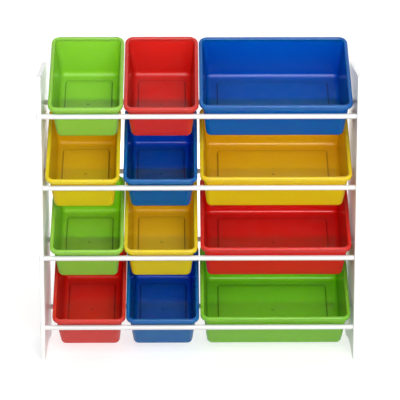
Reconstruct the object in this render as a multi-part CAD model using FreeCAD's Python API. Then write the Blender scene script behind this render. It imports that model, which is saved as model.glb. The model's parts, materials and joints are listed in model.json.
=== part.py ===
import FreeCAD, Part
import math
import os
from dataclasses import dataclass

# Toy storage organizer. Two white side panels stand on the floor and are held apart by eight
# steel rods, a front one and a rear one for each of four rows. Twelve moulded bins lie loose
# on the rods, tipped forward: the wall of each bin leans on the front rod and its floor rests
# on the rear rod. All sizes are in millimetres.
# +X is to the right seen from the front, +Y to the back and +Z up. The origin is on the floor,
# in the middle of the whole object.

Vector = FreeCAD.Vector

# --- side panels -------------------------------------------------------------------------
PANEL_THICKNESS = 12.0
PANEL_EDGE_ROUND = 1.5
PANEL_ABOVE_TOP_ROD = 108.5
PANEL_BEHIND_REAR_ROD = 56.5
FOOT_LENGTH = 40.0
ARCH_RISE = 14.0

# --- rods --------------------------------------------------------------------------------
ROD_RADIUS = 7.0
ROD_WALL = 1.0
FRONT_ROD_SETBACK = 18.5
REAR_ROD_SPACING = 190.0
REAR_ROD_RISE = 5.0
LOWEST_ROD_HEIGHT = 88.5
ROW_COUNT = 4
BIN_SWING_TO_NEXT_ROD_CLEARANCE = 6.44

# --- what fastens each rod end -----------------------------------------------------------
BOLT_RADIUS = 3.0
BOLT_GRIP = 16.0
BOLT_HEAD_RADIUS = 7.5
BOLT_HEAD_HEIGHT = 2.4
HEX_KEY_ACROSS_FLATS = 4.0
HEX_SOCKET_DEPTH = 1.6
BOLT_TO_INSERT_CLEARANCE = 0.1
BOLT_TO_PANEL_CLEARANCE = 0.25
COUNTERBORE_DEPTH = 4.2
HEAD_TO_COUNTERBORE_CLEARANCE = 0.5
INSERT_LENGTH = 24.0
INSERT_TO_ROD_CLEARANCE = 0.05
CAP_THICKNESS = 1.4
CAP_LIP = 2.0
CAP_PLUG_LENGTH = 1.2
CAP_PLUG_WALL = 1.2
CAP_TO_COUNTERBORE_CLEARANCE = 0.1
CAP_EDGE_CHAMFER = 0.9

# --- what all bins share -----------------------------------------------------------------
BIN_LENGTH = 285.0
BIN_DEPTH = 126.0
WIDE_BIN_DEEPER_BY = 2.0
BIN_WALL = 2.0
BIN_DRAFT = math.radians(5.0)
RIM_OVERHANG = 8.0
RIM_SKIRT = 12.0
RIM_CORNER_RADIUS = 24.0
RIM_ROLL_RADIUS = 4.5
RIM_INNER_ROUND = 5.0
TUB_EDGE_RADIUS = 15.0
FLOOR_STEP = 2.8
FLOOR_STEP_INSET_ENDS = 31.0
FLOOR_STEP_CORNER_RADIUS = 7.0
GATE_RADIUS = 2.6
GATE_HEIGHT = 0.8
RIB_THICKNESS = 2.0
BIN_TO_ROD_CLEARANCE = 0.3

# --- modelling allowances ----------------------------------------------------------------
OVERCUT = 1.0
SAME_PLACE = 1e-3


@dataclass(frozen=True)
class BinSize:
    """One mould: what sets its size apart, and how high it rides on the front rod."""
    width: float
    depth: float
    rim_above_rod: float
    floor_step_inset_sides: float
    rib_offset: float


SMALL_BIN = BinSize(width=199.0, depth=BIN_DEPTH, rim_above_rod=30.5,
                    floor_step_inset_sides=18.0, rib_offset=57.0)
LARGE_BIN = BinSize(width=407.0, depth=BIN_DEPTH + WIDE_BIN_DEEPER_BY, rim_above_rod=38.0,
                    floor_step_inset_sides=34.0, rib_offset=116.0)

# Each row holds a small, a small and a large bin. The free width in a row is shared out as
# the gaps left of each bin, top row first; what is left over is the gap at the right panel.
ROW_BINS = (("left", SMALL_BIN), ("middle", SMALL_BIN), ("right", LARGE_BIN))
FREE_WIDTH_IN_ROW = 31.0
ROW_GAPS = ((16.7, 1.7, 1.7), (6.5, 9.0, 6.1), (15.2, 1.0, 6.9), (19.0, 0.9, 3.2))

# --- worked out from the sizes above -----------------------------------------------------
INNER_WIDTH = sum(size.width for _, size in ROW_BINS) + FREE_WIDTH_IN_ROW
PANEL_DEPTH = FRONT_ROD_SETBACK + REAR_ROD_SPACING + PANEL_BEHIND_REAR_ROD
REAR_ROD_Y = FRONT_ROD_SETBACK + REAR_ROD_SPACING
BIN_ON_ROD = ROD_RADIUS + BIN_TO_ROD_CLEARANCE


def rounded_rectangle(width, length, radius, z, y_middle):
    """Closed wire of a rectangle with round corners, centred on x = 0 and y = y_middle."""
    half_x = width / 2.0
    half_y = length / 2.0
    edges = []
    corners = ((1, 1), (-1, 1), (-1, -1), (1, -1))
    for index, (sx, sy) in enumerate(corners):
        centre = Vector(sx * (half_x - radius), y_middle + sy * (half_y - radius), z)
        start = 90.0 * index
        edges.append(Part.makeCircle(radius, centre, Vector(0, 0, 1), start, start + 90.0))
    joined = []
    for index, arc in enumerate(edges):
        following = edges[(index + 1) % len(edges)]
        joined.append(arc)
        joined.append(Part.makeLine(arc.valueAt(arc.LastParameter),
                                    following.valueAt(following.FirstParameter)))
    return Part.Wire(joined)


def rounded_slab(width, length, radius, z_low, z_high, y_middle):
    """Upright block on a rounded rectangle, from z_low to z_high."""
    outline = rounded_rectangle(width, length, radius, z_low, y_middle)
    return Part.Face(outline).extrude(Vector(0, 0, z_high - z_low))


def edges_at(shape, z):
    """Edges that lie wholly at height z."""
    return [edge for edge in shape.Edges
            if abs(edge.BoundBox.ZMin - z) < SAME_PLACE
            and abs(edge.BoundBox.ZMax - z) < SAME_PLACE]


def tapered_tub(size, inset, top_z, floor_z, edge_radius):
    """Drafted solid under the rim, its upright and floor edges rounded alike.

    inset is measured inwards from the outer face of the walls.
    """
    rings = []
    for z in (top_z, floor_z):
        drawn_in = RIM_OVERHANG - z * math.tan(BIN_DRAFT) + inset
        half_x = size.width / 2.0 - drawn_in
        rings.append([Vector(-half_x, drawn_in, z), Vector(half_x, drawn_in, z),
                      Vector(half_x, BIN_LENGTH - drawn_in, z),
                      Vector(-half_x, BIN_LENGTH - drawn_in, z)])
    top, foot = rings
    outlines = [top, foot]
    for index in range(4):
        following = (index + 1) % 4
        outlines.append([top[index], top[following], foot[following], foot[index]])
    faces = [Part.Face(Part.makePolygon(outline + outline[:1])) for outline in outlines]
    tub = Part.Solid(Part.Shell(faces))
    rounded = [edge for edge in tub.Edges if edge.BoundBox.ZMin < floor_z + SAME_PLACE]
    return tub.makeFillet(edge_radius, rounded)


def rim(size, outer_tub):
    """Rolled rim: a flange round the mouth whose outer edge turns down into a skirt."""
    middle = BIN_LENGTH / 2.0
    block = rounded_slab(size.width, BIN_LENGTH, RIM_CORNER_RADIUS, -RIM_SKIRT, 0.0, middle)
    block = block.makeFillet(RIM_ROLL_RADIUS, edges_at(block, 0.0))
    hollow = rounded_slab(size.width - 2 * BIN_WALL, BIN_LENGTH - 2 * BIN_WALL,
                          RIM_CORNER_RADIUS - BIN_WALL, -RIM_SKIRT, -BIN_WALL, middle)
    hollow = hollow.makeChamfer(RIM_ROLL_RADIUS - BIN_WALL, edges_at(hollow, -BIN_WALL))
    return block.cut(hollow.cut(outer_tub))


def rim_ribs(size):
    """Two thin ribs under the front of the rim and two under the rear, from skirt to wall."""
    half_wall = BIN_WALL / 2.0
    reach = RIM_OVERHANG + RIM_SKIRT * math.tan(BIN_DRAFT)
    ribs = []
    for side in (-1, 1):
        for y_start in (half_wall, BIN_LENGTH - half_wall - reach):
            corner = Vector(side * size.rib_offset - RIB_THICKNESS / 2.0, y_start, -RIM_SKIRT)
            ribs.append(Part.makeBox(RIB_THICKNESS, reach, RIM_SKIRT - half_wall, corner))
    return ribs


def edges_inside(shape, size, z):
    """Edges at height z that go round the mouth, clear of the rolled outer edge."""
    beside_roll = RIM_ROLL_RADIUS + BIN_WALL / 2.0
    return [edge for edge in edges_at(shape, z)
            if edge.BoundBox.YMin > beside_roll
            and edge.BoundBox.YMax < BIN_LENGTH - beside_roll
            and edge.BoundBox.XMin > beside_roll - size.width / 2.0
            and edge.BoundBox.XMax < size.width / 2.0 - beside_roll]


def floor_panel(size, growth):
    """Outline sizes (width, length, corner radius) of the raised middle of the floor."""
    drawn_in = RIM_OVERHANG + size.depth * math.tan(BIN_DRAFT)
    width = size.width - 2 * (drawn_in + size.floor_step_inset_sides - growth)
    length = BIN_LENGTH - 2 * (drawn_in + FLOOR_STEP_INSET_ENDS - growth)
    return width, length, FLOOR_STEP_CORNER_RADIUS + growth


def make_bin(size):
    """One moulded bin, mouth up, with the front of its rim at y = 0 and its top at z = 0."""
    middle = BIN_LENGTH / 2.0
    outer = tapered_tub(size, 0.0, 0.0, -size.depth, TUB_EDGE_RADIUS)
    floor_z = BIN_WALL - size.depth
    cavity = tapered_tub(size, BIN_WALL, OVERCUT, floor_z, TUB_EDGE_RADIUS - BIN_WALL)
    body = outer.fuse(rim(size, outer)).removeSplitter()
    body = body.makeFillet(RIM_INNER_ROUND - BIN_WALL, edges_inside(body, size, -BIN_WALL))
    shell = body.fuse(rim_ribs(size)).cut(cavity)
    width, length, radius = floor_panel(size, BIN_WALL / 2.0)
    raised = rounded_slab(width, length, radius, floor_z - BIN_WALL / 2.0, floor_z + FLOOR_STEP,
                          middle)
    width, length, radius = floor_panel(size, -BIN_WALL / 2.0)
    recess = rounded_slab(width, length, radius, -size.depth, FLOOR_STEP - size.depth, middle)
    gate = Part.makeCylinder(GATE_RADIUS, FLOOR_STEP + GATE_HEIGHT, Vector(0, middle, floor_z))
    bin_shape = shell.fuse([raised, gate]).cut(recess).removeSplitter()
    return bin_shape.makeFillet(RIM_INNER_ROUND, edges_inside(bin_shape, size, 0.0))


def seat_on_rods(size):
    """Tilt of a seated bin, in radians, and where the front rod's axis is in the bin's frame.

    The floor is tangent to the rear rod and the front wall to the front rod, each with the
    same small clearance.
    """
    axis_y = (RIM_OVERHANG + size.rim_above_rod * math.tan(BIN_DRAFT)
              - BIN_ON_ROD / math.cos(BIN_DRAFT))
    fall_to_rear_axis = size.depth + BIN_ON_ROD - size.rim_above_rod
    spacing = math.hypot(REAR_ROD_SPACING, REAR_ROD_RISE)
    tilt = math.asin(fall_to_rear_axis / spacing) + math.atan2(REAR_ROD_RISE, REAR_ROD_SPACING)
    return tilt, Vector(0, axis_y, -size.rim_above_rod)


def row_pitch():
    """Height from row to row: a bin tipped up on its rear rod clears the rod above it."""
    reaches = []
    for _, size in ROW_BINS:
        tilt, rod_in_bin = seat_on_rods(size)
        rear_axis_y = (rod_in_bin.y + REAR_ROD_SPACING * math.cos(tilt)
                       + REAR_ROD_RISE * math.sin(tilt))
        reaches.append(math.hypot(BIN_LENGTH - rear_axis_y, size.depth + BIN_ON_ROD))
    return max(reaches) + ROD_RADIUS + BIN_SWING_TO_NEXT_ROD_CLEARANCE


def rod_heights():
    """Heights of the front rods' axes, top row first."""
    pitch = row_pitch()
    return [LOWEST_ROD_HEIGHT + pitch * (ROW_COUNT - 1 - row) for row in range(ROW_COUNT)]


def place_bin(shape, size, x_middle, rod_height):
    """Bin moved onto its two rods, with its middle at x_middle."""
    tilt, rod_in_bin = seat_on_rods(size)
    turn = FreeCAD.Rotation(Vector(1, 0, 0), math.degrees(tilt))
    rod_axis = Vector(x_middle, FRONT_ROD_SETBACK, rod_height)
    placed = shape.copy()
    placed.Placement = FreeCAD.Placement(rod_axis - turn.multVec(rod_in_bin), turn)
    return placed


def bins():
    """All twelve bins by name, row 1 at the top."""
    moulds = {size: make_bin(size) for _, size in ROW_BINS}
    placed = {}
    for row, (rod_height, gaps) in enumerate(zip(rod_heights(), ROW_GAPS), start=1):
        left_edge = -INNER_WIDTH / 2.0
        for (column, size), gap in zip(ROW_BINS, gaps):
            left_edge += gap
            shape = place_bin(moulds[size], size, left_edge + size.width / 2.0, rod_height)
            placed[f"bin_row{row}_{column}"] = shape
            left_edge += size.width
    return placed


def rod_axes():
    """(y, z) of every rod axis: the front rods from the top down, then the rear rods."""
    front = [(FRONT_ROD_SETBACK, height) for height in rod_heights()]
    rear = [(REAR_ROD_Y, height + REAR_ROD_RISE) for height in rod_heights()]
    return front, rear


def along_x(radius, x_from, x_to, y, z):
    """Solid cylinder along X."""
    return Part.makeCylinder(radius, x_to - x_from, Vector(x_from, y, z), Vector(1, 0, 0))


def side_panel(side):
    """Side panel with an arch between its two feet; side is -1 for left and +1 for right."""
    panel_height = rod_heights()[0] + PANEL_ABOVE_TOP_ROD
    rear_foot = PANEL_DEPTH - FOOT_LENGTH
    arch_top = Vector(0, PANEL_DEPTH / 2.0, ARCH_RISE)
    front_end = Vector(0, FOOT_LENGTH, 0)
    rear_end = Vector(0, rear_foot, 0)
    top_rear = Vector(0, PANEL_DEPTH, panel_height)
    top_front = Vector(0, 0, panel_height)
    outline = Part.Wire([
        Part.makeLine(Vector(0, 0, 0), front_end),
        Part.Arc(front_end, arch_top, rear_end).toShape(),
        Part.makeLine(rear_end, Vector(0, PANEL_DEPTH, 0)),
        Part.makeLine(Vector(0, PANEL_DEPTH, 0), top_rear),
        Part.makeLine(top_rear, top_front),
        Part.makeLine(top_front, Vector(0, 0, 0)),
    ])
    board = Part.Face(outline).extrude(Vector(PANEL_THICKNESS, 0, 0))
    rim_edges = [edge for edge in board.Edges if edge.BoundBox.XLength < SAME_PLACE]
    board = board.makeFillet(PANEL_EDGE_ROUND, rim_edges)
    hole_radius = BOLT_RADIUS + BOLT_TO_PANEL_CLEARANCE
    front, rear = rod_axes()
    sink_radius = BOLT_HEAD_RADIUS + HEAD_TO_COUNTERBORE_CLEARANCE
    sink_from = PANEL_THICKNESS - COUNTERBORE_DEPTH
    for y, z in front + rear:
        board = board.cut([along_x(hole_radius, -OVERCUT, PANEL_THICKNESS + OVERCUT, y, z),
                           along_x(sink_radius, sink_from, PANEL_THICKNESS + OVERCUT, y, z)])
    board.translate(Vector(INNER_WIDTH / 2.0, 0, 0))
    return board if side > 0 else board.mirror(Vector(0, 0, 0), Vector(1, 0, 0))


def rod(y, z):
    """Steel tube that butts on the inner faces of both panels."""
    half = INNER_WIDTH / 2.0
    tube = along_x(ROD_RADIUS, -half, half, y, z)
    return tube.cut(along_x(ROD_RADIUS - ROD_WALL, -half - OVERCUT, half + OVERCUT, y, z))


def rod_end_insert():
    """Threaded plug pressed into a rod, its outer end at x = 0 and its body towards -X."""
    body = along_x(ROD_RADIUS - ROD_WALL - INSERT_TO_ROD_CLEARANCE, -INSERT_LENGTH, 0.0, 0, 0)
    bore = along_x(BOLT_RADIUS + BOLT_TO_INSERT_CLEARANCE, -INSERT_LENGTH - OVERCUT, OVERCUT,
                   0, 0)
    return body.cut(bore)


def rod_bolt():
    """Flat-headed bolt with a hexagon socket; the rod's end is at x = 0, the head beyond."""
    head_x = PANEL_THICKNESS - COUNTERBORE_DEPTH
    shank = along_x(BOLT_RADIUS, -BOLT_GRIP, head_x, 0, 0)
    head = along_x(BOLT_HEAD_RADIUS, head_x, head_x + BOLT_HEAD_HEIGHT, 0, 0)
    key_radius = HEX_KEY_ACROSS_FLATS / math.sqrt(3.0)
    outer_x = head_x + BOLT_HEAD_HEIGHT
    corners = [Vector(outer_x, key_radius * math.cos(math.radians(60.0 * step)),
                      key_radius * math.sin(math.radians(60.0 * step))) for step in range(7)]
    socket = Part.Face(Part.makePolygon(corners)).extrude(Vector(-HEX_SOCKET_DEPTH, 0, 0))
    return shank.fuse(head).cut(socket).removeSplitter()


def bolt_cap():
    """Thin round cap over a counterbore: a chamfered disc on the panel and a short plug ring."""
    disc_radius = BOLT_HEAD_RADIUS + HEAD_TO_COUNTERBORE_CLEARANCE + CAP_LIP
    outer_x = PANEL_THICKNESS + CAP_THICKNESS
    disc = along_x(disc_radius, PANEL_THICKNESS, outer_x, 0, 0)
    outer_edge = [edge for edge in disc.Edges if edge.BoundBox.XMin > outer_x - SAME_PLACE]
    disc = disc.makeChamfer(CAP_EDGE_CHAMFER, outer_edge)
    plug_radius = (BOLT_HEAD_RADIUS + HEAD_TO_COUNTERBORE_CLEARANCE
                   - CAP_TO_COUNTERBORE_CLEARANCE)
    plug_end = PANEL_THICKNESS - CAP_PLUG_LENGTH
    plug = along_x(plug_radius, plug_end, PANEL_THICKNESS, 0, 0)
    hollow = along_x(plug_radius - CAP_PLUG_WALL, plug_end - OVERCUT, PANEL_THICKNESS, 0, 0)
    return disc.fuse(plug).cut(hollow)


def at_every_rod_end(piece):
    """Copies of a rod-end piece at both ends of all rods, as one group of separate solids."""
    front, rear = rod_axes()
    copies = []
    for side, turn in ((1, 0.0), (-1, 180.0)):
        for y, z in front + rear:
            copy = piece.copy()
            copy.Placement = FreeCAD.Placement(Vector(side * INNER_WIDTH / 2.0, y, z),
                                               FreeCAD.Rotation(Vector(0, 0, 1), turn))
            copies.append(copy)
    return Part.makeCompound(copies)


def frame_pieces():
    """Every fixed piece by name."""
    front, rear = rod_axes()
    pieces = {"side_panel_left": side_panel(-1), "side_panel_right": side_panel(1)}
    for name, axes in (("front_rod", front), ("rear_rod", rear)):
        for row, (y, z) in enumerate(axes, start=1):
            pieces[f"{name}_{row}"] = rod(y, z)
    pieces["rod_end_inserts"] = at_every_rod_end(rod_end_insert())
    pieces["rod_bolts"] = at_every_rod_end(rod_bolt())
    pieces["bolt_caps"] = at_every_rod_end(bolt_cap())
    return pieces


def main():
    """Build every piece, centre the object front to back and write one file per piece."""
    os.makedirs("parts", exist_ok=True)
    pieces = {**frame_pieces(), **bins()}
    boxes = [piece.optimalBoundingBox(False) for piece in pieces.values()]
    middle_y = (min(box.YMin for box in boxes) + max(box.YMax for box in boxes)) / 2.0
    for name, piece in pieces.items():
        piece.translate(Vector(0, -middle_y, 0))
        piece.exportStep(f"parts/{name}.step")
    print("front rod axes at y =", round(FRONT_ROD_SETBACK - middle_y, 3))
    for label, size in (("small", SMALL_BIN), ("large", LARGE_BIN)):
        tilt, _ = seat_on_rods(size)
        print(label, "bin tilt", round(math.degrees(tilt), 3))


main()
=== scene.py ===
"""Dresses the toy storage organizer: white frame, twelve coloured bins, studio floor and light."""
import json
import logging
from dataclasses import dataclass, field
from enum import Enum

import bpy
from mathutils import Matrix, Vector

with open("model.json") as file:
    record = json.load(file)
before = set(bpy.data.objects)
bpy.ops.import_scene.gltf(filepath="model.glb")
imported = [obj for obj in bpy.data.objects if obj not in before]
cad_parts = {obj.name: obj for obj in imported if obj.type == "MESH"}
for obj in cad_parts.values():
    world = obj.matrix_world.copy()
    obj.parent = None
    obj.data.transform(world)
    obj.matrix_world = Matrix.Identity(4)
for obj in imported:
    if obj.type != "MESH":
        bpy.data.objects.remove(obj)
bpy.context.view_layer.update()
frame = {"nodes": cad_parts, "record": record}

log = logging.getLogger("organizer")

Colour = tuple[float, float, float]
Point = tuple[float, float, float]
Span = tuple[float, float]

WHITE = (1.0, 1.0, 1.0, 1.0)


class BinShade(Enum):
    """The record's slot of each bin colour; the small and the wide bins are separate mouldings."""

    GREEN_SMALL = "bin_green_small"
    GREEN_WIDE = "bin_green_large"
    RED_SMALL = "bin_red_small"
    RED_WIDE = "bin_red_large"
    BLUE_SMALL = "bin_blue_small"
    BLUE_WIDE = "bin_blue_large"
    YELLOW_SMALL = "bin_yellow_small"
    YELLOW_WIDE = "bin_yellow_large"


class NodeBoard:
    """Adds and links nodes in one tree, so that a finish reads as a short list of steps."""

    columns = 6
    step = (220.0, -260.0)
    openness_samples = 12
    mix_amount, mix_under, mix_over, mix_result = 0, 6, 7, 2

    def __init__(self, tree: bpy.types.NodeTree) -> None:
        """Starts on a tree.

        Args:
            tree: the node tree that gets the nodes.
        """
        self.tree = tree
        self.count = 0

    def add(self, kind: str, settings: dict | None = None, **inputs: object) -> bpy.types.Node:
        """Adds one node.

        Args:
            kind: the node's type name.
            settings: attributes to set on the node itself.
            **inputs: values or output sockets by input name, blanks written as underscores.

        Returns:
            The new node.
        """
        node = self.tree.nodes.new(kind)
        node.location = (self.step[0] * (self.count % self.columns),
                         self.step[1] * (self.count // self.columns))
        self.count += 1
        for name, value in (settings or {}).items():
            setattr(node, name, value)
        for name, value in inputs.items():
            self.feed(node.inputs[name.replace("_", " ")], value)
        return node

    def feed(self, socket: bpy.types.NodeSocket, value: object) -> None:
        """Links an output socket to an input socket, or writes a plain value on it.

        Args:
            socket: the input socket.
            value: the output socket or the value.
        """
        if isinstance(value, bpy.types.NodeSocket):
            self.tree.links.new(value, socket)
        else:
            socket.default_value = value

    def math(self, operation: str, first: object, second: object = 0.0) -> bpy.types.NodeSocket:
        """Adds a Math node.

        Args:
            operation: the operation's name.
            first: value or socket.
            second: value or socket.

        Returns:
            The result's socket.
        """
        node = self.add("ShaderNodeMath", {"operation": operation})
        self.feed(node.inputs[0], first)
        self.feed(node.inputs[1], second)
        return node.outputs[0]

    def span(self, value: object, source: Span, low: object = 0.0,
             high: object = 1.0) -> bpy.types.NodeSocket:
        """Adds a Map Range node that clamps.

        Args:
            value: the socket to map.
            source: inputs that give the low and the high output.
            low: output at the span's start, a value or a socket.
            high: output at the span's end, a value or a socket.

        Returns:
            The result's socket.
        """
        node = self.add("ShaderNodeMapRange", Value=value, From_Min=source[0],
                        From_Max=source[1], To_Min=low, To_Max=high)
        return node.outputs["Result"]

    def openness(self, reach: float, inside: bool) -> bpy.types.NodeSocket:
        """Adds an Ambient Occlusion node that looks at the piece itself only.

        Args:
            reach: how far it looks, in metres.
            inside: whether it looks into the material, which finds its sharp outer edges.

        Returns:
            The socket that is 1 in the open and less where the piece closes in.
        """
        settings = {"only_local": True, "inside": inside, "samples": self.openness_samples}
        node = self.add("ShaderNodeAmbientOcclusion", settings, Distance=reach)
        return node.outputs["AO"]

    def noise(self, where: object, scale: object, detail: float) -> bpy.types.NodeSocket:
        """Adds a Noise Texture and returns its value socket."""
        node = self.add("ShaderNodeTexNoise", Vector=where, Scale=scale, Detail=detail)
        return node.outputs["Fac"]

    def blend(self, amount: object, under: object, over: object) -> bpy.types.NodeSocket:
        """Adds a Mix node for colours.

        Args:
            amount: how much of the second colour, 0 to 1.
            under: first colour.
            over: second colour.

        Returns:
            The mixed colour's socket.
        """
        node = self.add("ShaderNodeMix", {"data_type": "RGBA", "blend_type": "MIX"})
        self.feed(node.inputs[self.mix_amount], amount)
        self.feed(node.inputs[self.mix_under], under)
        self.feed(node.inputs[self.mix_over], over)
        return node.outputs[self.mix_result]

    def seen(self) -> bpy.types.NodeSocket:
        """Adds a Light Path node.

        Returns:
            The socket that is 1 for rays from the camera, a reflection or a clear body, else 0.
        """
        path = self.add("ShaderNodeLightPath").outputs
        return self.math("MAXIMUM", path["Is Camera Ray"],
                         self.math("MAXIMUM", path["Is Glossy Ray"],
                                   path["Is Transmission Ray"]))


def rgba(colour: Colour) -> tuple[float, float, float, float]:
    """Adds a full alpha to a colour."""
    return (*colour, 1.0)


class SurfaceGroup:
    """A shader node group with named sockets, built once and placed in several materials."""

    name: str = "surface"
    inputs: tuple[tuple[str, str, object], ...] = ()
    outputs: tuple[tuple[str, str], ...] = ()

    def tree(self) -> bpy.types.NodeTree:
        """Makes the group on its first use.

        Returns:
            The group's node tree.
        """
        known = bpy.data.node_groups.get(self.name)
        if known is not None:
            return known
        tree = bpy.data.node_groups.new(self.name, "ShaderNodeTree")
        for label, kind, value in self.inputs:
            socket = tree.interface.new_socket(label, in_out="INPUT", socket_type=kind)
            socket.default_value = value
        for label, kind in self.outputs:
            tree.interface.new_socket(label, in_out="OUTPUT", socket_type=kind)
        board = NodeBoard(tree)
        entry = board.add("NodeGroupInput")
        exit_node = board.add("NodeGroupOutput")
        for label, socket in self.build(board, entry).items():
            tree.links.new(socket, exit_node.inputs[label])
        return tree

    def build(self, board: NodeBoard, entry: bpy.types.Node) -> dict[str, bpy.types.NodeSocket]:
        """Adds the group's own nodes.

        Args:
            board: the group's tree.
            entry: the group's input node.

        Returns:
            The socket that feeds each output.
        """
        raise NotImplementedError

    def place(self, board: NodeBoard, **inputs: object) -> bpy.types.Node:
        """Places the group in a material.

        Args:
            board: the material's tree.
            **inputs: this material's own values, by input name.

        Returns:
            The group node.
        """
        return board.add("ShaderNodeGroup", {"node_tree": self.tree()}, **inputs)


class MouldedSkin(SurfaceGroup):
    """Colour flow and grain of moulded plastic, with painted shade in creases, on sharp edges and
    in deep rooms, and painted light on open faces.
    """

    name = "moulded_skin"
    inputs = (("Colour", "NodeSocketColor", (0.5, 0.5, 0.5, 1.0)),
              ("Flow", "NodeSocketFloat", 0.06),
              ("Grain Scale", "NodeSocketFloat", 900.0),
              ("Gloss", "NodeSocketFloat", 0.35),
              ("Scuffing", "NodeSocketFloat", 0.025),
              # Crease, Deep and Open set the painted shade in creases, the painted shade in deep
              # rooms and the painted light on open faces.
              ("Crease", "NodeSocketFloat", 0.9),
              ("Deep", "NodeSocketFloat", 0.55),
              ("Open", "NodeSocketFloat", 1.18))
    outputs = (("Colour", "NodeSocketColor"), ("Roughness", "NodeSocketFloat"),
               ("Height", "NodeSocketFloat"))

    streak_stretch: Point = (3.0, 9.0, 5.0)
    streak_scale = 1.6
    streak_detail = 3.0
    rub_stretch: Point = (40.0, 260.0, 90.0)
    rub_scale = 1.0
    rub_detail = 2.0
    rub_span: Span = (0.52, 0.72)
    grain_detail = 2.0
    corner_reach = 0.005
    corner_span: Span = (0.45, 0.97)
    edge_reach = 0.0015
    edge_span: Span = (0.45, 0.95)
    room_reach = 0.25
    room_span: Span = (0.3, 0.95)

    def build(self, board: NodeBoard, entry: bpy.types.Node) -> dict[str, bpy.types.NodeSocket]:
        """Slow streaks in the colour, grain, rub marks, painted shade in creases, on sharp edges
        and in deep rooms, and painted light on open faces.

        Args:
            board: the group's tree.
            entry: the group's input node.

        Returns:
            The socket that feeds each output.
        """
        given = entry.outputs
        where = board.add("ShaderNodeTexCoord").outputs["Object"]
        streaks = board.add("ShaderNodeMapping", Vector=where, Scale=self.streak_stretch)
        flow = board.noise(streaks.outputs["Vector"], self.streak_scale, self.streak_detail)
        tone = board.math("MULTIPLY", board.math("SUBTRACT", flow, 0.5), given["Flow"])
        streaked = board.add("ShaderNodeHueSaturation", Color=given["Colour"],
                             Value=board.math("ADD", 1.0, tone))
        rubs = board.add("ShaderNodeMapping", Vector=where, Scale=self.rub_stretch)
        rub = board.span(board.noise(rubs.outputs["Vector"], self.rub_scale, self.rub_detail),
                         self.rub_span)
        gloss = board.math("ADD", given["Gloss"], board.math("MULTIPLY", rub, given["Scuffing"]))
        grain = board.noise(where, given["Grain Scale"], self.grain_detail)
        # Painted shade: AO darkens the colour in tight creases and along sharp outer edges,
        # drawing dark lines there.
        corner = board.openness(self.corner_reach, False)
        edge = board.openness(self.edge_reach, True)
        shut = board.math("MAXIMUM", board.span(corner, self.corner_span, 1.0, 0.0),
                          board.span(edge, self.edge_span, 1.0, 0.0))
        painted_crease_shade = board.math("SUBTRACT", 1.0, board.math("MULTIPLY", shut, given["Crease"]))
        # Painted shade and light: the colour darkens to Deep in deep rooms and brightens to Open,
        # above 1, on open faces.
        room = board.span(board.openness(self.room_reach, False), self.room_span)
        painted_room_shade_and_light = board.span(room, (0.0, 1.0), given["Deep"], given["Open"])
        shaded = board.add("ShaderNodeHueSaturation", Color=streaked.outputs["Color"],
                           Value=board.math("MULTIPLY", painted_crease_shade, painted_room_shade_and_light))
        return {"Colour": shaded.outputs["Color"], "Roughness": gloss, "Height": grain}


class SprayedSkin(SurfaceGroup):
    """Orange peel and faint tone changes of a sprayed or plated surface."""

    name = "sprayed_skin"
    inputs = (("Colour", "NodeSocketColor", (0.9, 0.9, 0.9, 1.0)),
              ("Peel Scale", "NodeSocketFloat", 260.0),
              ("Gloss", "NodeSocketFloat", 0.3),
              ("Handling", "NodeSocketFloat", 0.05))
    outputs = (("Colour", "NodeSocketColor"), ("Roughness", "NodeSocketFloat"),
               ("Height", "NodeSocketFloat"))

    peel_detail = 1.0
    mark_scale = 14.0
    mark_detail = 4.0
    mark_span: Span = (0.45, 0.7)
    tone_scale = 5.0
    tone_detail = 2.0
    tone_span: Span = (0.3, 0.7)
    darkest_tone = 0.985

    def build(self, board: NodeBoard, entry: bpy.types.Node) -> dict[str, bpy.types.NodeSocket]:
        """Peel in the height, and handling marks that dull the gloss a little.

        Args:
            board: the group's tree.
            entry: the group's input node.

        Returns:
            The socket that feeds each output.
        """
        given = entry.outputs
        where = board.add("ShaderNodeTexCoord").outputs["Object"]
        peel = board.noise(where, given["Peel Scale"], self.peel_detail)
        marks = board.span(board.noise(where, self.mark_scale, self.mark_detail), self.mark_span)
        gloss = board.math("ADD", given["Gloss"], board.math("MULTIPLY", marks, given["Handling"]))
        tone = board.span(board.noise(where, self.tone_scale, self.tone_detail), self.tone_span,
                          self.darkest_tone, 1.0)
        shade = board.add("ShaderNodeHueSaturation", Color=given["Colour"], Value=tone)
        return {"Colour": shade.outputs["Color"], "Roughness": gloss, "Height": peel}


class SettledDust(SurfaceGroup):
    """A thin film of dust on what faces up, as a mask."""

    name = "settled_dust"
    inputs = (("Amount", "NodeSocketFloat", 0.04),)
    outputs = (("Mask", "NodeSocketFloat"),)

    patch_scale = 30.0
    patch_detail = 4.0
    patch_span: Span = (0.35, 0.7)
    thinnest_patch = 0.3
    up_span: Span = (0.6, 1.0)

    def build(self, board: NodeBoard, entry: bpy.types.Node) -> dict[str, bpy.types.NodeSocket]:
        """Up-facing areas, broken up by noise.

        Args:
            board: the group's tree.
            entry: the group's input node.

        Returns:
            The socket that feeds the output.
        """
        facing = board.add("ShaderNodeSeparateXYZ",
                           Vector=board.add("ShaderNodeNewGeometry").outputs["Normal"])
        where = board.add("ShaderNodeTexCoord").outputs["Object"]
        patches = board.span(board.noise(where, self.patch_scale, self.patch_detail),
                             self.patch_span, self.thinnest_patch, 1.0)
        up = board.span(facing.outputs["Z"], self.up_span)
        mask = board.math("MULTIPLY", board.math("MULTIPLY", up, patches),
                          entry.outputs["Amount"])
        return {"Mask": mask}


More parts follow.
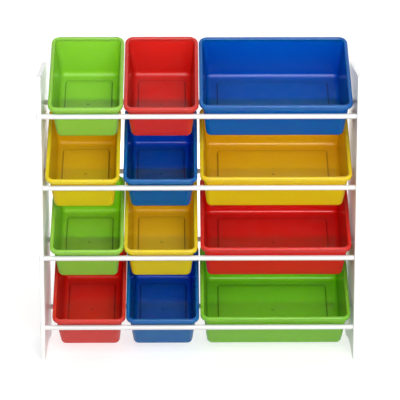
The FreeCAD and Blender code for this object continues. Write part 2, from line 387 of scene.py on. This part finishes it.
def new_material(name: str) -> tuple[bpy.types.Material, NodeBoard, bpy.types.Node]:
    """Makes an empty node material.

    Args:
        name: the material's name.

    Returns:
        The material, its node board and its Principled shader, linked to the output.
    """
    material = bpy.data.materials.new(name)
    material.use_nodes = True
    material.node_tree.nodes.clear()
    board = NodeBoard(material.node_tree)
    surface = board.add("ShaderNodeBsdfPrincipled")
    output = board.add("ShaderNodeOutputMaterial")
    board.feed(output.inputs["Surface"], surface.outputs["BSDF"])
    return material, board, surface


def set_constants(surface: bpy.types.Node, **values: object) -> None:
    """Writes constants straight on a shader's sockets.

    Args:
        surface: the shader node.
        **values: values by input name, blanks written as underscores.
    """
    for name, value in values.items():
        surface.inputs[name.replace("_", " ")].default_value = value


def feed_skin(board: NodeBoard, surface: bpy.types.Node, skin: bpy.types.Node,
              relief: float) -> None:
    """Links a skin's roughness and height to a shader.

    Args:
        board: the material's tree.
        surface: the Principled shader.
        skin: the placed skin group.
        relief: the height of the skin's bumps, in metres.
    """
    board.feed(surface.inputs["Roughness"], skin.outputs["Roughness"])
    bump = board.add("ShaderNodeBump", Height=skin.outputs["Height"], Distance=relief)
    board.feed(surface.inputs["Normal"], bump.outputs["Normal"])


@dataclass(frozen=True)
class MouldedPlastic:
    """Semi-gloss moulded plastic that can let a little light through."""

    name: str
    colour: Colour
    gloss: float = 0.17
    shine: float = 0.32
    ior: float = 1.49
    milk: float = 1.0
    bleed: Point = (1.0, 1.0, 1.0)
    depth_of_light: float = 0.015
    grain_depth: float = 0.00004
    flow: float = 0.08
    # These three set the painted shade in creases and on sharp edges, the painted shade in deep
    # rooms and the painted light on open faces.
    crease_painted_shade: float = 0.9
    deep_room_painted_shade: float = 0.55
    open_face_painted_light: float = 1.18
    dust: float = 0.03
    dust_colour: Colour = (0.62, 0.60, 0.56)

    def material(self) -> bpy.types.Material:
        """Builds the finish.

        Returns:
            The new material.
        """
        material, board, surface = new_material(self.name)
        skin = MouldedSkin().place(board, Colour=rgba(self.colour), Flow=self.flow,
                                   Gloss=self.gloss, Crease=self.crease_painted_shade, Deep=self.deep_room_painted_shade,
                                   Open=self.open_face_painted_light)
        dust = SettledDust().place(board, Amount=self.dust)
        board.feed(surface.inputs["Base Color"],
                   board.blend(dust.outputs["Mask"], skin.outputs["Colour"],
                               rgba(self.dust_colour)))
        feed_skin(board, surface, skin, self.grain_depth)
        surface.subsurface_method = "RANDOM_WALK"
        set_constants(surface, Subsurface_Weight=self.milk, Subsurface_Radius=self.bleed,
                      Subsurface_Scale=self.depth_of_light, IOR=self.ior,
                      Specular_IOR_Level=self.shine)
        return material


@dataclass(frozen=True)
class SprayedWhite:
    """White lacquer or powder coat with a light orange peel."""

    name: str
    colour: Colour
    gloss: float
    peel_scale: float
    peel_depth: float
    coat: float
    coat_gloss: float = 0.12
    shine: float = 0.35

    def material(self) -> bpy.types.Material:
        """Builds the finish.

        Returns:
            The new material.
        """
        material, board, surface = new_material(self.name)
        skin = SprayedSkin().place(board, Colour=rgba(self.colour), Peel_Scale=self.peel_scale,
                                   Gloss=self.gloss)
        board.feed(surface.inputs["Base Color"], skin.outputs["Colour"])
        feed_skin(board, surface, skin, self.peel_depth)
        set_constants(surface, Coat_Weight=self.coat, Coat_Roughness=self.coat_gloss,
                      Specular_IOR_Level=self.shine)
        return material


@dataclass(frozen=True)
class PlatedSteel:
    """Zinc-plated steel with fine tool marks."""

    name: str
    colour: Colour
    gloss: float
    mark_scale: float = 1400.0
    mark_depth: float = 0.00002
    handling: float = 0.12

    def material(self) -> bpy.types.Material:
        """Builds the finish.

        Returns:
            The new material.
        """
        material, board, surface = new_material(self.name)
        skin = SprayedSkin().place(board, Colour=rgba(self.colour), Peel_Scale=self.mark_scale,
                                   Gloss=self.gloss, Handling=self.handling)
        board.feed(surface.inputs["Base Color"], skin.outputs["Colour"])
        feed_skin(board, surface, skin, self.mark_depth)
        set_constants(surface, Metallic=1.0)
        return material


def dress(node: str, material: bpy.types.Material) -> None:
    """Gives every slot of a CAD node one material and reports it.

    Args:
        node: the node's name.
        material: the finish.
    """
    part = frame["nodes"][node]
    if not part.material_slots:
        part.data.materials.append(material)
    for slot in part.material_slots:
        slot.material = material
    log.info("%s: %s", node, material.name)


@dataclass
class Stand:
    """Side panels, rods and what fastens them."""

    panel: SprayedWhite = SprayedWhite("white_lacquer", (0.89, 0.89, 0.88), gloss=0.42,
                                       peel_scale=240.0, peel_depth=0.00005, coat=0.0)
    tube: SprayedWhite = SprayedWhite("white_powder_coat", (0.84, 0.84, 0.835), gloss=0.28,
                                      peel_scale=700.0, peel_depth=0.00004, coat=0.3)
    plug: MouldedPlastic = MouldedPlastic("plug_plastic", (0.62, 0.62, 0.60), gloss=0.5,
                                          milk=0.0, crease_painted_shade=0.0)
    cap: MouldedPlastic = MouldedPlastic("cap_plastic", (0.84, 0.84, 0.83), gloss=0.38,
                                         milk=0.0, crease_painted_shade=0.0, open_face_painted_light=1.0)
    bolt: PlatedSteel = PlatedSteel("zinc_plated_steel", (0.66, 0.67, 0.68), gloss=0.3)
    panels: tuple[str, ...] = ("side_panel_left", "side_panel_right")
    row_count: int = 4

    def tubes(self) -> list[str]:
        """Names of the front and rear rods."""
        return [f"{end}_rod_{row}" for end in ("front", "rear")
                for row in range(1, self.row_count + 1)]

    def dress(self) -> None:
        """Dresses every piece of the stand."""
        for names, finish in ((self.panels, self.panel), (self.tubes(), self.tube),
                              (["rod_end_inserts"], self.plug), (["rod_bolts"], self.bolt),
                              (["bolt_caps"], self.cap)):
            material = finish.material()
            for name in names:
                dress(name, material)


@dataclass
class BinSet:
    """The twelve loose bins and their plastics."""

    finishes: dict[BinShade, MouldedPlastic] = field(default_factory=lambda: {
        BinShade.GREEN_SMALL: MouldedPlastic("lime_green_plastic", (0.27, 0.66, 0.07),
                                             bleed=(0.7, 1.0, 0.12), deep_room_painted_shade=0.64,
                                             open_face_painted_light=1.08),
        BinShade.GREEN_WIDE: MouldedPlastic("leaf_green_plastic", (0.18, 0.50, 0.032),
                                            bleed=(0.6, 1.0, 0.10), deep_room_painted_shade=0.48,
                                            open_face_painted_light=1.1),
        BinShade.RED_SMALL: MouldedPlastic("signal_red_plastic", (0.78, 0.034, 0.024),
                                           bleed=(1.0, 0.12, 0.08), deep_room_painted_shade=0.5),
        BinShade.RED_WIDE: MouldedPlastic("deep_red_plastic", (0.70, 0.020, 0.015),
                                          bleed=(1.0, 0.12, 0.08), deep_room_painted_shade=0.5),
        BinShade.BLUE_SMALL: MouldedPlastic("blue_plastic", (0.0005, 0.113, 0.345),
                                            bleed=(0.05, 0.35, 1.0), deep_room_painted_shade=0.5),
        BinShade.BLUE_WIDE: MouldedPlastic("sky_blue_plastic", (0.0005, 0.105, 0.35),
                                           bleed=(0.05, 0.35, 1.0)),
        BinShade.YELLOW_SMALL: MouldedPlastic("lemon_plastic", (0.97, 0.61, 0.018),
                                              bleed=(1.0, 0.8, 0.05), depth_of_light=0.008,
                                              deep_room_painted_shade=0.66, open_face_painted_light=1.0),
        BinShade.YELLOW_WIDE: MouldedPlastic("amber_plastic", (0.97, 0.56, 0.012),
                                             bleed=(1.0, 0.8, 0.05), depth_of_light=0.008,
                                             deep_room_painted_shade=0.66, open_face_painted_light=1.0),
    })

    def dress(self) -> None:
        """Gives each bin the plastic of the slot that the record names for it."""
        materials = {shade.value: finish.material() for shade, finish in self.finishes.items()}
        for part in frame["record"]["subparts"]:
            material = materials.get(part["material_slot"])
            if material is not None:
                dress(part["node"], material)


@dataclass(frozen=True)
class SoftBox:
    """A rectangular area lamp that the camera doesn't see."""

    name: str
    at: Point
    width: float
    height: float
    watts: float

    def hang(self, aim_at: Point) -> None:
        """Adds the lamp.

        Args:
            aim_at: the point that it faces.
        """
        light = bpy.data.lights.new(self.name, "AREA")
        light.shape = "RECTANGLE"
        light.size = self.width
        light.size_y = self.height
        light.energy = self.watts
        lamp = bpy.data.objects.new(self.name, light)
        lamp.location = self.at
        aim = Vector(aim_at) - Vector(self.at)
        lamp.rotation_euler = aim.to_track_quat("-Z", "Y").to_euler()
        lamp.visible_camera = False
        bpy.context.scene.collection.objects.link(lamp)


@dataclass
class Studio:
    """Floor, lamps, world and camera."""

    camera_at: Point = (-0.0487, -5.2865, 1.6286)
    camera_aim: Point = (0.0019, -0.1209, 0.4428)
    lens: float = 178.05
    sensor: float = 36.0
    view_limit: float = 60.0
    floor_size: float = 40.0
    floor_grey: float = 0.8
    floor_gloss: float = 0.9
    glow_span: Span = (0.8, 3.0)
    glow_near: float = 0.5
    glow_far: float = 0.8
    world_light: float = 0.32
    lamp_aim: Point = (0.0, 0.0, 0.45)
    lamps: tuple[SoftBox, ...] = (
        SoftBox("front_soft_box", (0.3, -4.4, 2.2), 2.6, 1.8, 72.0),
        SoftBox("high_soft_box", (0.4, -2.6, 3.0), 2.0, 1.2, 25.0),
        SoftBox("low_soft_box", (0.8, -3.6, 0.9), 1.6, 1.2, 46.0),
        SoftBox("rear_soft_box", (0.4, 2.6, 1.0), 2.4, 2.4, 42.0),
    )

    def floor(self) -> None:
        """A large pale floor that the camera sees as white, with the object's soft shadow."""
        half = self.floor_size / 2.0
        mesh = bpy.data.meshes.new("studio_floor")
        mesh.from_pydata([(-half, -half, 0.0), (half, -half, 0.0), (half, half, 0.0),
                          (-half, half, 0.0)], [], [(0, 1, 2, 3)])
        floor = bpy.data.objects.new("studio_floor", mesh)
        bpy.context.scene.collection.objects.link(floor)
        material, board, surface = new_material("pale_floor")
        set_constants(surface, Base_Color=rgba((self.floor_grey,) * 3),
                      Roughness=self.floor_gloss, Emission_Color=WHITE)
        shown = board.seen()
        away = board.add("ShaderNodeVectorMath", {"operation": "LENGTH"})
        board.feed(away.inputs[0], board.add("ShaderNodeTexCoord").outputs["Object"])
        glow = board.span(away.outputs["Value"], self.glow_span, self.glow_near, self.glow_far)
        board.feed(surface.inputs["Emission Strength"], board.math("MULTIPLY", shown, glow))
        mesh.materials.append(material)

    def world(self) -> None:
        """Even light all round that the camera sees as white."""
        world = bpy.data.worlds.new("studio")
        bpy.context.scene.world = world
        world.use_nodes = True
        world.node_tree.nodes.clear()
        board = NodeBoard(world.node_tree)
        strength = board.span(board.seen(), (0.0, 1.0), self.world_light, 1.0)
        light = board.add("ShaderNodeBackground", Color=WHITE, Strength=strength)
        output = board.add("ShaderNodeOutputWorld")
        board.feed(output.inputs["Surface"], light.outputs["Background"])

    def camera(self) -> None:
        """Camera at the photograph's place."""
        data = bpy.data.cameras.new("camera")
        data.lens = self.lens
        data.sensor_width = self.sensor
        data.clip_end = self.view_limit
        camera = bpy.data.objects.new("camera", data)
        camera.location = self.camera_at
        aim = Vector(self.camera_aim) - Vector(self.camera_at)
        camera.rotation_euler = aim.to_track_quat("-Z", "Y").to_euler()
        bpy.context.scene.collection.objects.link(camera)
        bpy.context.scene.camera = camera

    def build(self) -> None:
        """Sets the whole studio up."""
        self.camera()
        self.floor()
        self.world()
        for lamp in self.lamps:
            lamp.hang(self.lamp_aim)
        bpy.context.scene.view_settings.view_transform = "Standard"


def main() -> None:
    """Builds the studio and dresses the object."""
    logging.basicConfig(level=logging.INFO, format="%(message)s")
    Studio().build()
    Stand().dress()
    BinSet().dress()


if __name__ == "__main__":
    main()
